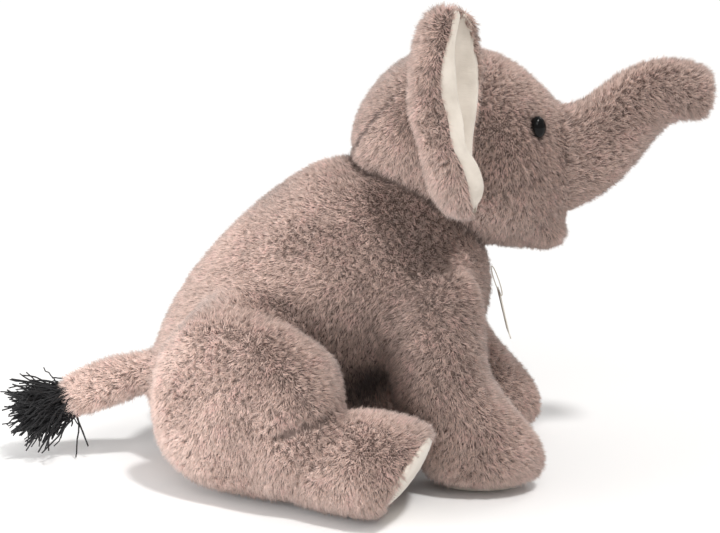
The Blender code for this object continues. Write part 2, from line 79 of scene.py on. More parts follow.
# ---- camera, lights, floor
CAMERA_AT, CAMERA_PITCH, CAMERA_LENS, SENSOR = (0.0011, -0.972, 0.297), 79.02, 90.5, 36.0
AMBIENT, AMBIENT_COLOUR = 0.52, (1.0, 0.985, 0.97, 1.0)
KEY_WHITE, FILL_WHITE = (1.0, 0.99, 0.975), (1.0, 0.99, 0.98)
SUNS = [  # name, the way the light goes, strength, spread in degrees, colour
    ("Key", (-0.3, 0.48, -1.0), 1.66, 6.0, KEY_WHITE),
    ("Front_fill", (0.0, 0.9, -0.7), 0.36, 24.0, FILL_WHITE),
    ("Back_fill", (-0.6, -0.5, -0.9), 0.32, 20.0, FILL_WHITE),
]
PANEL_AT, PANEL_AIM, PANEL_SIZE, PANEL_POWER = (-0.35, -0.28, 0.1), (-0.1, 0.0, 0.06), 0.2, 1.15
FLOOR_REACH, FLOOR_COLOUR = 14.0, (0.96, 0.96, 0.96)


def link(obj):
    bpy.context.scene.collection.objects.link(obj)
    return obj


def built(name, points, faces):
    mesh = bpy.data.meshes.new(name)
    mesh.from_pydata(points, [], faces)
    return link(bpy.data.objects.new(name, mesh))


def aim(light_object, way):
    light_object.rotation_euler = Vector(way).to_track_quat("-Z", "Y").to_euler()


def build_studio():
    scene = bpy.context.scene
    scene.view_settings.view_transform = "Standard"
    scene.view_settings.look = "None"

    camera = bpy.data.cameras.new("Camera")
    camera.sensor_width = SENSOR
    camera.lens = CAMERA_LENS
    camera.dof.use_dof = False
    camera_object = link(bpy.data.objects.new("Camera", camera))
    camera_object.location = CAMERA_AT
    camera_object.rotation_euler = (math.radians(CAMERA_PITCH), 0.0, 0.0)
    scene.camera = camera_object

    world = bpy.data.worlds.new("Studio")
    scene.world = world
    world.use_nodes = True
    nodes, links = world.node_tree.nodes, world.node_tree.links
    ambient = nodes["Background"]
    ambient.inputs["Color"].default_value = AMBIENT_COLOUR
    ambient.inputs["Strength"].default_value = AMBIENT
    backdrop = nodes.new("ShaderNodeBackground")
    backdrop.inputs["Color"].default_value = (1.0, 1.0, 1.0, 1.0)
    path, mix = nodes.new("ShaderNodeLightPath"), nodes.new("ShaderNodeMixShader")
    links.new(path.outputs["Is Camera Ray"], mix.inputs[0])
    links.new(ambient.outputs[0], mix.inputs[1])
    links.new(backdrop.outputs[0], mix.inputs[2])
    links.new(mix.outputs[0], nodes["World Output"].inputs["Surface"])

    for name, towards, strength, spread, colour in SUNS:
        light = bpy.data.lights.new(name, "SUN")
        light.energy = strength
        light.angle = math.radians(spread)
        light.color = colour
        aim(link(bpy.data.objects.new(name, light)), towards)
    panel = bpy.data.lights.new("Left_panel", "AREA")
    panel.shape = "SQUARE"
    panel.size = PANEL_SIZE
    panel.energy = PANEL_POWER
    panel_object = link(bpy.data.objects.new("Left_panel", panel))
    panel_object.location = PANEL_AT
    aim(panel_object, Vector(PANEL_AIM) - Vector(PANEL_AT))
    panel_object.visible_camera = False

    corners = ((-1, -1), (1, -1), (1, 1), (-1, 1))
    floor = built("Floor", [(x * FLOOR_REACH, y * FLOOR_REACH, 0.0) for x, y in corners], [(0, 1, 2, 3)])
    floor.data.materials.append(plain_material("Pale_floor", FLOOR_COLOUR, specular=0.5))


# ---- materials
def plain_material(name, colour, roughness=0.85, sheen=0.0, specular=0.3, coat=0.0):
    made = bpy.data.materials.new(name)
    made.use_nodes = True
    shader = made.node_tree.nodes["Principled BSDF"]
    shader.inputs["Base Color"].default_value = (*colour, 1.0)
    shader.inputs["Roughness"].default_value = roughness
    shader.inputs["Specular IOR Level"].default_value = specular
    shader.inputs["Sheen Weight"].default_value = sheen
    shader.inputs["Sheen Roughness"].default_value = 0.45
    shader.inputs["Coat Weight"].default_value = coat
    return made


def add_node(material, kind):
    return material.node_tree.nodes.new(kind)


def join(material, source, output, target, field):
    material.node_tree.links.new(source.outputs[output], target.inputs[field])


def noise_node(material, scale, detail=3.0, stretch=(1.0, 1.0, 1.0)):
    coordinates = add_node(material, "ShaderNodeTexCoord")
    mapping = add_node(material, "ShaderNodeMapping")
    mapping.inputs["Scale"].default_value = stretch
    noise = add_node(material, "ShaderNodeTexNoise")
    noise.inputs["Scale"].default_value = scale
    noise.inputs["Detail"].default_value = detail
    noise.inputs["Roughness"].default_value = 0.55
    join(material, coordinates, "Object", mapping, "Vector")
    join(material, mapping, "Vector", noise, "Vector")
    return noise


def ramp_node(material, stops):
    ramp = add_node(material, "ShaderNodeValToRGB")
    elements = ramp.color_ramp.elements
    while len(elements) < len(stops):
        elements.new(0.5)
    for element, (position, colour) in zip(elements, stops):
        element.position = position
        element.color = (*colour, 1.0)
    return ramp


def cloth_material(made, clouds, stops, grain, bump, depth):
    """Colours a material by one noise and gives it relief by another."""
    shader = made.node_tree.nodes["Principled BSDF"]
    ramp = ramp_node(made, stops)
    join(made, clouds, "Fac", ramp, "Fac")
    join(made, ramp, "Color", shader, "Base Color")
    relief = add_node(made, "ShaderNodeBump")
    relief.inputs["Strength"].default_value = bump
    relief.inputs["Distance"].default_value = depth
    join(made, grain, "Fac", relief, "Height")
    join(made, relief, "Normal", shader, "Normal")
    return made


def mottled_material(name, dark, light, scale, roughness=0.9, sheen=0.2, bump=0.3):
    made = plain_material(name, dark, roughness, sheen)
    clouds, grain = noise_node(made, scale), noise_node(made, scale * 3, detail=4.0)
    return cloth_material(made, clouds, [(0.32, dark), (0.68, light)], grain, bump, 0.0006)


def suede_material():
    """Cream suede: a fine brushed weave, a little yellower and darker where it is handled."""
    made = plain_material("Cream_suede", (0.74, 0.68, 0.58), 0.92, 0.35, 0.2)
    clouds = noise_node(made, 60.0, detail=4.0)
    weave = noise_node(made, 900.0, detail=2.0, stretch=(0.35, 0.35, 2.2))
    stops = [(0.3, (0.6, 0.54, 0.47)), (0.55, (0.71, 0.645, 0.57)), (0.8, (0.78, 0.72, 0.645))]
    return cloth_material(made, clouds, stops, weave, 0.45, 0.0004)


# ---- smooth closed forms
RING_POINTS, ROUNDINGS = 8, 4


def finished(name, made):
    """A linked object made of a bmesh."""
    mesh = bpy.data.meshes.new(name)
    made.to_mesh(mesh)
    made.free()
    return link(bpy.data.objects.new(name, mesh))


def read(items, field, size, kind=float):
    """One row of the field's numbers for each item of a mesh."""
    values = np.empty(len(items) * size, kind)
    items.foreach_get(field, values)
    return values.reshape(-1, size)


def face_outwards(mesh, welded=False):
    made = bmesh.new()
    made.from_mesh(mesh)
    if welded:
        bmesh.ops.remove_doubles(made, verts=made.verts, dist=1e-6)
    bmesh.ops.recalc_face_normals(made, faces=made.faces)
    made.to_mesh(mesh)
    made.free()


def baked(obj):
    """The object with its modifiers applied."""
    graph = bpy.context.evaluated_depsgraph_get()
    graph.update()
    mesh = bpy.data.meshes.new_from_object(obj.evaluated_get(graph))
    obj.modifiers.clear()
    obj.data = mesh
    return obj


def loft(name, rings, side=1, floor=None, ahead=0.0):
    """A smooth closed form, PILE inside the rings (x, z, half height, half width, angle, y, yaw)."""
    widen = 3 / (2 + math.cos(2 * math.pi / RING_POINTS))
    made = bmesh.new()
    rows = []
    for index, ring in enumerate(rings):
        x, z, along, across, angle, y, yaw = (*ring, *(90.0, 0.0, 0.0)[len(ring) - 4:])
        turn, swing = math.radians(angle), math.radians(yaw)
        first = Vector((math.cos(turn), 0.0, math.sin(turn)))
        second = Vector((-math.sin(swing), math.cos(swing), 0.0))
        ahead_here = ahead * min(1.0, max(0.0, (STEP_FROM - z) / (STEP_FROM - STEP_TO)))
        centre = Vector((x + ahead_here, y, z))
        if index in (0, len(rings) - 1):
            other = rings[-1] if index == 0 else rings[0]
            normal = first.cross(second)
            towards = Vector((other[0] - x, (other[5] if len(other) > 5 else 0.0) - y, other[1] - z))
            centre += (normal if normal.dot(towards) > 0 else -normal) * PILE
        row = []
        for step in range(RING_POINTS):
            around = step * 2 * math.pi / RING_POINTS
            point = centre + first * (math.cos(around) * max(along - PILE, 0.001) * widen)
            point = point + second * (math.sin(around) * max(across - PILE, 0.001) * widen)
            if floor is not None:
                point.z = max(point.z, floor + PILE)
            row.append(made.verts.new(placed(point.x, side * point.y, point.z)))
        rows.append(row)
    for lower, upper in zip(rows, rows[1:]):
        for step in range(RING_POINTS):
            following = (step + 1) % RING_POINTS
            made.faces.new((lower[step], lower[following], upper[following], upper[step]))
    made.faces.new(rows[0])
    made.faces.new(rows[-1])
    bmesh.ops.recalc_face_normals(made, faces=made.faces)
    obj = finished(name, made)
    rounded = obj.modifiers.new("Rounded", "SUBSURF")
    rounded.levels = rounded.render_levels = ROUNDINGS
    return baked(obj)


def ellipsoid(name, centre, size, segments=32, rings=20):
    made = bmesh.new()
    matrix = Matrix.Translation(centre) @ Matrix.Diagonal((*size, 1.0))
    bmesh.ops.create_uvsphere(made, u_segments=segments, v_segments=rings, radius=1.0, matrix=matrix)
    return finished(name, made)


BODY_RINGS = [
    (-0.044, 0.0, 0.028, 0.024, 0), (-0.046, 0.0, 0.048, 0.037, 0),
    (-0.049, 0.012, 0.0655, 0.043, 0), (-0.049, 0.034, 0.071, 0.0435, 0),
    (-0.0425, 0.058, 0.0735, 0.054, -6), (-0.0205, 0.078, 0.0815, 0.0655, -12),
    (-0.0045, 0.0995, 0.0752, 0.0665, -20), (0.0112, 0.1163, 0.0672, 0.06, -29),
    (0.0232, 0.1274, 0.06, 0.052, -36), (0.0312, 0.1344, 0.0508, 0.044, -37),
    (0.0345, 0.144, 0.038, 0.038, -37), (0.04, 0.151, 0.03, 0.03, -37),
    (0.044, 0.156, 0.016, 0.016, -37),
]
HEAD_RINGS = [
    (-0.006, 0.169, 0.007, 0.013), (-0.0015, 0.172, 0.0172, 0.0265), (0.01, 0.1785, 0.0292, 0.04),
    (0.0295, 0.1815, 0.0418, 0.0505), (0.054, 0.175, 0.05, 0.0545), (0.075, 0.168, 0.0526, 0.0505),
    (0.092, 0.1618, 0.0462, 0.0415), (0.1055, 0.1605, 0.035, 0.0315), (0.113, 0.1612, 0.02, 0.0185),
]
TRUNK_RINGS = [
    (0.086, 0.16, 0.016, 0.015, 90), (0.096, 0.1615, 0.027, 0.026, 91),
    (0.1115, 0.164, 0.0292, 0.0268, 93),
    (0.1232, 0.1682, 0.028, 0.0258, 102), (0.1367, 0.1798, 0.0244, 0.0238, 117),
    (0.1516, 0.1955, 0.0202, 0.021, 112), (0.1652, 0.2014, 0.018, 0.0186, 96),
    (0.1775, 0.2, 0.0164, 0.0172, 88), (0.1845, 0.198, 0.015, 0.016, 85),
    (0.189, 0.1966, 0.0128, 0.014, 85),
]
FORELEG_RINGS = [
    (0.043, 0.1175, 0.011, 0.011, 0, 0.048), (0.043, 0.111, 0.022, 0.02, 0, 0.05),
    (0.04, 0.09, 0.0268, 0.026, 0, 0.055), (0.0385, 0.06, 0.0258, 0.026, 0, 0.057),
    (0.051, 0.0385, 0.034, 0.0272, 0, 0.057), (0.0635, 0.0205, 0.035, 0.029, 0, 0.057),
    (0.064, 0.0095, 0.0335, 0.025, 0, 0.0545), (0.063, 0.002, 0.026, 0.0185, 0, 0.0535),
]
FORELEG_STEP = 0.0088  # how far the left forefoot stands ahead of the right one
STEP_FROM, STEP_TO = 0.095, 0.05  # the heights over which the left foreleg leans to that
THIGH_RINGS = [
    (-0.113, 0.044, 0.016, 0.011, 90, 0.05), (-0.104, 0.047, 0.0335, 0.017, 90, 0.056),
    (-0.086, 0.05, 0.0475, 0.0245, 90, 0.066), (-0.061, 0.05, 0.052, 0.031, 90, 0.074),
    (-0.038, 0.0452, 0.0482, 0.036, 90, 0.084), (-0.0195, 0.044, 0.038, 0.0345, 90, 0.087),
    (-0.0075, 0.0455, 0.0265, 0.0245, 90, 0.0875),
]
FOOT_RINGS = [
    (-0.045, 0.024, 0.018, 0.019, 90, 0.085), (-0.03, 0.025, 0.0238, 0.025, 90, 0.091),
    (-0.014, 0.026, 0.0268, 0.0295, 88, 0.0965, 5), (0.002, 0.0266, 0.028, 0.034, 80, 0.101, 8),
    (0.015, 0.025, 0.0276, 0.0338, 66, 0.104, 11), (0.0222, 0.0228, 0.0262, 0.0315, 57, 0.1056, 13),
    (0.024, 0.0218, 0.0254, 0.0305, 56, 0.106, 13),
]
SOLE_CENTRE, SOLE_PITCH, SOLE_YAW = (0.024, 0.106, 0.022), 34.0, 13.0
SOLE_HALF_UP, SOLE_HALF_ACROSS, SOLE_CROWN = 0.0228, 0.0272, 0.0052
SOLE_SHOWN = 0.94  # no pile grows over this share of a hind sole
FORE_SOLE_AT, FORE_SOLE_SIZE = (0.063, 0.0535), (0.0195, 0.012, 0.0016)
TAIL_RINGS = [
    (-0.108, 0.0535, 0.011, 0.011, 111), (-0.12, 0.049, 0.014, 0.0132, 111),
    (-0.132, 0.0447, 0.0142, 0.0136, 111), (-0.147, 0.0395, 0.0137, 0.0132, 111),
    (-0.16, 0.0345, 0.013, 0.0126, 111), (-0.1665, 0.032, 0.011, 0.0106, 111),
]


# The stuffing that rounds off the step from the back to the thigh, one on each side.
HAUNCH_AT, HAUNCH_SIZE = (-0.06, 0.052, 0.077), (0.033, 0.0245, 0.027)
LIP_AT, LIP_SIZE = (0.098, 0.0, 0.1256), (0.014, 0.0172, 0.0082)


def build_forms():
    """The woven backing of each sewn part, as a closed form, by CAD body."""
    forms = {
        "body": [loft("body_skin", BODY_RINGS, floor=0.0)]
        + [ellipsoid(f"haunch_{label}_skin", placed(HAUNCH_AT[0], side * HAUNCH_AT[1], HAUNCH_AT[2]),
                     HAUNCH_SIZE, 64, 40) for label, side in SIDES.items()],
        "head": [loft("head_skin", HEAD_RINGS), ellipsoid("lip_skin", placed(*LIP_AT), LIP_SIZE)],
        "trunk": [loft("trunk_skin", TRUNK_RINGS)],
        "tail": [loft("tail_skin", TAIL_RINGS)],
    }
    for label, side in SIDES.items():
        step = FORELEG_STEP if side > 0 else 0.0
        forms[f"foreleg_{label}"] = [loft(f"foreleg_{label}_skin", FORELEG_RINGS, side, 0.0, step)]
        forms[f"hind_leg_{label}"] = [loft(f"hind_leg_{label}_skin", THIGH_RINGS, side, 0.0),
                                      loft(f"hind_foot_{label}_skin", FOOT_RINGS, side, 0.0)]
    return forms


# ---- the merged surface that the pile grows on
VOXEL = 0.0024
OWNER_REACH = 0.008  # how far the merged surface may lie from the form that it is part of
SNAP_REACH, SNAP_FADE, SNAP_UNDER = 0.009, 0.003, 0.0002  # a skin follows the merged surface, just under it
EVEN_TURNS, SMOOTHING_TURNS = 5, 70  # turns of smoothing everywhere, and in all with those at the soft spots
SOFT_SPOTS = [  # centre, radius: where two parts run into each other without a crease, on both sides
    ((0.045, 0.045, 0.112), 0.046), ((0.018, 0.058, 0.08), 0.024), ((-0.105, 0.045, 0.05), 0.04),
    ((-0.085, 0.055, 0.085), 0.038), ((-0.062, 0.06, 0.1), 0.026), ((0.113, 0.0, 0.165), 0.036),
    ((-0.12, 0.0, 0.049), 0.014),
]
SEAM = ("body", "head")  # the two parts whose seam shows as a fine line
FOLDS = [  # start, end, half width and depth of a fold in the cloth, on each side
    ((-0.043, 0.117, 0.043), (-0.002, 0.112, 0.059), 0.004, 0.0058),
]


def neighbour_mean(points, edges, counts):
    total = np.zeros_like(points)
    np.add.at(total, edges[:, 0], points[edges[:, 1]])
    np.add.at(total, edges[:, 1], points[edges[:, 0]])
    return total / counts[:, None]


def move_points(mesh, points):
    """Moves the mesh's vertices and returns its new vertex normals."""
    mesh.vertices.foreach_set("co", points.ravel())
    mesh.update()
    return read(mesh.vertex_normals, "vector", 3)


def one_side(points):
    return points * (1, 0, 1) + np.abs(points) * (0, 1, 0)


def line_distance(points, start, end):
    """Distance of each point from the line between two points, in any number of dimensions."""
    along = end - start
    share = np.clip((points - start) @ along / (along @ along), 0, 1)
    return np.linalg.norm(points - start - share[:, None] * along, axis=1)


def merged_surface(forms):
    """One surface over all forms, creased where they meet and rounded at the soft spots."""
    bodies = sorted(forms)
    points, faces, trees, count = [], [], [], 0
    for number, body in enumerate(bodies):
        for obj in forms[body]:
            own = read(obj.data.vertices, "co", 3)
            own_faces = [tuple(p.vertices) for p in obj.data.polygons]
            trees.append((number, BVHTree.FromPolygons([Vector(p) for p in own], own_faces)))
            points.append(own)
            faces += [tuple(i + count for i in f) for f in own_faces]
            count += len(own)
    obj = built("merged", np.concatenate(points).tolist(), faces)
    voxels = obj.modifiers.new("Merge", "REMESH")
    voxels.mode = "VOXEL"
    voxels.voxel_size = VOXEL
    baked(obj)
    mesh = obj.data
    co = read(mesh.vertices, "co", 3)
    owner = np.zeros(len(co), int)
    for index, point in enumerate(co):
        best = 1.0
        for number, tree in trees:
            distance = tree.find_nearest(Vector(point), OWNER_REACH)[3]
            if distance is not None and distance < best:
                best = distance
                owner[index] = number
    edges = read(mesh.edges, "vertices", 2, int)
    counts = np.bincount(edges.ravel(), minlength=len(co)).astype(float)
    soft = np.zeros(len(co))
    for centre, radius in SOFT_SPOTS:
        distance = np.linalg.norm(one_side(co) - np.array(placed(*centre)), axis=1) / radius
        soft = np.maximum(soft, np.clip(1.4 - distance, 0, 1))
    for turn in range(SMOOTHING_TURNS):
        weight = np.full(len(co), 0.5) if turn < EVEN_TURNS else 0.5 * soft
        co = co + (neighbour_mean(co, edges, counts) - co) * weight[:, None]
    normals = move_points(mesh, co)
    for start, end, half_width, depth in FOLDS:
        reach = line_distance(one_side(co), np.array(start), np.array(end))
        co = co - normals * (depth * np.exp(-(reach / half_width) ** 2))[:, None]
    normals = move_points(mesh, co)
    hollow = ((neighbour_mean(co, edges, counts) - co) * normals).sum(1, keepdims=True) / VOXEL
    for _ in range(2):
        hollow = 0.5 * hollow + 0.5 * neighbour_mean(hollow, edges, counts)
    pair = {bodies.index(name) for name in SEAM}
    seam_points = [Vector((co[a] + co[b]) / 2) for a, b in edges if {owner[a], owner[b]} == pair]
    seam_tree = KDTree(len(seam_points))
    for number, point in enumerate(seam_points):
        seam_tree.insert(point, number)
    seam_tree.balance()
    return obj, owner, bodies, hollow[:, 0], seam_tree


def snap_forms(forms, surface):
    """Moves the visible skin of each closed form onto the merged surface; its hidden part stays inside."""
    tree = BVHTree.FromObject(surface, bpy.context.evaluated_depsgraph_get())
    for parts in forms.values():
        for obj in parts:
            for vertex in obj.data.vertices:
                near, normal, _, distance = tree.find_nearest(vertex.co, SNAP_REACH)
                if near is None:
                    continue
                share = min(1.0, (SNAP_REACH - distance) / SNAP_FADE)
                vertex.co = vertex.co.lerp(near - normal * SNAP_UNDER, share)
            obj.data.update()
            obj.data.shade_smooth()


def backing_patches(surface, owner, bodies):
    """The merged surface itself, cut into one backing cloth for each body."""
    co = read(surface.data.vertices, "co", 3)
    faces = [tuple(polygon.vertices) for polygon in surface.data.polygons]
    patches = {}
    for index, body in enumerate(bodies):
        own = [face for face in faces if owner[face[0]] == index]
        used = sorted({vertex for face in own for vertex in face})
        number = {vertex: position for position, vertex in enumerate(used)}
        own = [tuple(number[vertex] for vertex in face) for face in own]
        patches[body] = built(f"{body}_backing", co[used].tolist(), own)
        patches[body].data.shade_smooth()
    return patches


# ---- pile
PILE_SHADES = [  # from the darkest, for the seam lines and for painted shade in creases and pockets, to the lightest tips, then a pinker one
    (0.17, 0.122, 0.11), (0.4, 0.297, 0.26), (0.53, 0.395, 0.345), (0.65, 0.487, 0.426),
    (0.77, 0.582, 0.512), (0.89, 0.69, 0.615), (0.79, 0.565, 0.51),
]


def wave_field(points, wavelength, seed, count=14):
    """A smooth random field of about unit size, one value for each point."""
    random = np.random.default_rng(seed)
    directions = random.normal(size=(count, 3))
    directions /= np.linalg.norm(directions, axis=1)[:, None]
    scales = 2 * math.pi / (wavelength * random.uniform(0.7, 1.5, count))
    phases = random.uniform(0, 2 * math.pi, count)
    return np.sin(points @ (directions * scales[:, None]).T + phases).sum(1) / math.sqrt(count / 2)


def unit(vectors):
    return vectors / np.maximum(np.linalg.norm(vectors, axis=1), 1e-9)[:, None]


def scattered(co, normals, tris, density, random, *fields):
    """Random points on triangles, with the normals and any other fields there."""
    a, b, c = co[tris[:, 0]], co[tris[:, 1]], co[tris[:, 2]]
    area = np.linalg.norm(np.cross(b - a, c - a), axis=1) / 2
    total = area.sum()
    count = int(total * density)
    chosen = np.searchsorted(np.cumsum(area) / total, random.random(count), side="right")
    chosen = tris[np.minimum(chosen, len(tris) - 1)]
    u, v = random.random(count), random.random(count)
    flip = u + v > 1
    u[flip], v[flip] = 1 - u[flip], 1 - v[flip]
    share = np.stack([1 - u - v, u, v], 1)[:, :, None]
    points, outward, *others = ((values[chosen] * share).sum(1) for values in (co, normals, *fields))
    return points, unit(outward), *others


STRAND_SIDES, LOWEST = 3, 0.0003  # no strand goes lower than this over the floor


def strand_mesh(name, roots, normals, lean, length, width, shade, materials):
    """Tapered three-sided strands. `lean` is each strand's unit direction."""
    count, per = len(roots), STRAND_SIDES + 1
    side = unit(np.cross(normals, lean + normals * 1e-3))
    other = np.cross(lean, side)
    points = np.empty((count, per, 3))
    for corner in range(STRAND_SIDES):
        turn = corner * 2 * math.pi / STRAND_SIDES
        points[:, corner] = roots + (side * math.cos(turn) + other * math.sin(turn)) * (width / 2)[:, None]
    points[:, STRAND_SIDES] = roots + lean * length[:, None]
    points[:, :, 2] = np.maximum(points[:, :, 2], LOWEST)
    faces = np.array([(0, 2, 1), (0, 1, 3), (1, 2, 3), (2, 0, 3)])
    all_faces = (faces[None] + (np.arange(count) * per)[:, None, None]).reshape(-1, 3)
    mesh = bpy.data.meshes.new(name)
    mesh.vertices.add(count * per)
    mesh.vertices.foreach_set("co", points.reshape(-1).astype(np.float32))
    mesh.loops.add(len(all_faces) * 3)
    mesh.loops.foreach_set("vertex_index", all_faces.reshape(-1).astype(np.int32))
    mesh.polygons.add(len(all_faces))
    mesh.polygons.foreach_set("loop_start", np.arange(0, len(all_faces) * 3, 3, dtype=np.int32))
    mesh.polygons.foreach_set("material_index", np.repeat(shade, len(faces)).astype(np.int32))
    mesh.polygons.foreach_set("use_smooth", np.ones(len(all_faces), bool))
    mesh.update(calc_edges=True)
    for material in materials:
        mesh.materials.append(material)
    return link(bpy.data.objects.new(name, mesh))


GROOM = {  # flow of the pile, how far it lies over, length, width
    "body": ((-0.55, 0.0, -0.8), 0.75, 0.0041, 0.00046),
    "head": ((-0.3, 0.0, -0.95), 0.72, 0.0039, 0.00045),
    "trunk": ((0.95, 0.0, 0.25), 0.85, 0.0044, 0.00046),
    "tail": ((-0.9, 0.0, -0.35), 0.85, 0.0046, 0.00048),
    "foreleg": ((0.15, 0.0, -1.0), 0.75, 0.0041, 0.00046),
    "hind_leg": ((0.55, 0.0, -0.8), 0.75, 0.0041, 0.00046),
    "ear": ((0.0, 0.0, -1.0), 0.7, 0.0042, 0.00047),
}
STRANDS_PER_M2 = 3.5e6
MOST_STRANDS = 48000  # in one piece
LOW_PAINTED_LIGHT, LOW_HEIGHT = 0.72, 0.08  # the pile is painted lighter low down: painted light of the floor's bounce
TONE, BROAD_TONE, CLUMP_TONE, FINE_TONE = 2.97, 0.22, 0.66, 0.9  # the mean shade, and what varies it
BROAD, CLUMP, PATCH = 0.035, 0.0032, 0.012  # wavelengths of the shades
LIGHTEST, PINK = 5, 6  # places in PILE_SHADES


def shades_for(points, random, dark=0.0, painted_shade_spots=()):
    broad = wave_field(points, BROAD, 11)
    clump = wave_field(points, CLUMP, 12)
    fine = random.normal(size=len(points))
    tone = TONE + BROAD_TONE * broad + CLUMP_TONE * clump + FINE_TONE * fine - dark
    # painted light: strands are lighter the nearer they are to the floor
    tone += LOW_PAINTED_LIGHT * np.clip(1.25 - points[:, 2] / LOW_HEIGHT, 0, 1)
    # painted shade: strands are darker towards each spot's centre
    for centre, radius, depth in painted_shade_spots:
        distance = np.linalg.norm(points - np.array(centre), axis=1)
        tone -= depth * np.clip(1.3 - distance / radius, 0, 1)
    shade = np.clip(np.round(tone), 0, LIGHTEST).astype(int)
    # the darkest shade stays for strands painted dark: painted shade and seam lines
    shade[(shade == 0) & (tone > -0.2) & (np.asarray(dark) < 0.5)] = 1
    pink = (wave_field(points, PATCH, 13) + 0.7 * random.normal(size=len(points))) > 1.1
    shade[pink & (shade >= 3) & (shade < LIGHTEST)] = PINK
    return shade


SWIRL, DRIFT = 0.0034, 0.045  # wavelengths of the way the pile lies
SWIRL_LEAN, DRIFT_LEAN, FINE_LEAN = 0.42, 0.3, 0.25


def lean_for(points, normals, kind, random):
    flow, over, length, width = GROOM[kind]
    swirl = np.stack([wave_field(points, SWIRL, seed) for seed in (21, 22, 23)], 1)
    drift = np.stack([wave_field(points, DRIFT, seed) for seed in (31, 32, 33)], 1)
    fine = random.normal(size=points.shape)
    wish = np.array(flow) + SWIRL_LEAN * swirl + DRIFT_LEAN * drift + FINE_LEAN * fine
    tangent = wish - normals * (wish * normals).sum(1)[:, None]
    lay = over * (1 + 0.25 * random.normal(size=len(points)))
    lean = unit(normals + unit(tangent) * np.clip(lay, 0.3, 2.0)[:, None])
    longer = length * np.clip(1 + 0.18 * random.normal(size=len(points)) + 0.12 * swirl[:, 0], 0.5, 1.5)
    wider = width * np.clip(1 + 0.2 * random.normal(size=len(points)), 0.5, 1.5)
    return lean, longer, wider


HIDDEN_DEPTH = 0.013  # the pile goes on this far under the parts that lie over it, for when a joint moves
HIDDEN_FROM, HIDDEN_SHARE = 0.0016, 0.55
CREASE_FROM, CREASE_TO, CREASE_PAINTED_SHADE = 0.03, 0.13, 3.5  # painted shade in creases: the hollowness where it starts, where it is full, and how dark it is
SEAM_TONE, SEAM_REACH, SEAM_BARE = 4.0, 0.0048, 0.0009
MID_SEAMS, MID_TONE, MID_REACH = ("body", "head", "trunk"), 2.7, 0.0022  # the seam along the middle plane
NAPE_SEAM = [(-0.0025, 0.172), (0.002, 0.1817), (0.0098, 0.1937), (0.02, 0.2046)]  # x, z, on each side
NAPE_TONE, NAPE_REACH = 2.6, 0.0014
UNDERSIDE, UNDERSIDE_HEIGHT = -0.92, 0.0042  # what the toy sits on has no pile
ROOT_DEPTH, DARK_SHORTER = 0.0006, 0.16  # how deep a strand is rooted, and how much shorter it is per shade


def mesh_arrays(mesh):
    """Vertex positions, vertex normals, triangles in a fixed order, and the face that each one is part of."""
    mesh.calc_loop_triangles()
    tris = read(mesh.loop_triangles, "vertices", 3, int)
    faces = read(mesh.loop_triangles, "polygon_index", 1, int)[:, 0]
    order = np.lexsort(tris.T)  # the faces of a merged surface come in any order
    return read(mesh.vertices, "co", 3), read(mesh.vertex_normals, "vector", 3), tris[order], faces[order]


def shown_roots(surface_arrays, tri_owner, index, depth, seam_tree, mid_seam, random):
    """Points on one body's part of the merged surface: positions, normals, and how much darker each strand is
    painted, for painted shade in creases and for the seam lines.
    """
    co, normals, tris, _ = surface_arrays
    own = tris[tri_owner == index]
    points, outward, dark = scattered(co, normals, own, STRANDS_PER_M2, random, depth[:, None])
    dark = dark[:, 0]
    near_seam = np.zeros(len(points), bool)
    if mid_seam:
        dark = np.maximum(dark, MID_TONE * np.clip(1 - np.abs(points[:, 1]) / MID_REACH, 0, 1))
    if seam_tree is not None:
        side_view = points[:, [0, 2]]
        for start, end in zip(NAPE_SEAM, NAPE_SEAM[1:]):
            reach = line_distance(side_view, np.array(start), np.array(end))
            dark = np.maximum(dark, NAPE_TONE * np.clip(1 - reach / NAPE_REACH, 0, 1))
        for number, point in enumerate(points):
            reach = seam_tree.find(Vector(point))[2]
            if reach < SEAM_REACH:
                dark[number] = max(dark[number], SEAM_TONE * (1 - reach / SEAM_REACH) ** 2)
            near_seam[number] = reach < SEAM_BARE
    keep = ~near_seam & ~((outward[:, 2] < UNDERSIDE) & (points[:, 2] < UNDERSIDE_HEIGHT))
    return points[keep], outward[keep], dark[keep]


def hidden_roots(obj, tree, face_owner, index, random):
    """Points on one form just under the parts that lie over it, which show when a joint moves."""
    points, outward = scattered(*mesh_arrays(obj.data)[:3], STRANDS_PER_M2 * HIDDEN_SHARE, random)
    keep = np.zeros(len(points), bool)
    for number, point in enumerate(points):
        near, _, face, distance = tree.find_nearest(Vector(point), HIDDEN_DEPTH)
        keep[number] = near is not None and distance > HIDDEN_FROM and face_owner[face] != index
    return points[keep], outward[keep], np.zeros(int(keep.sum()))


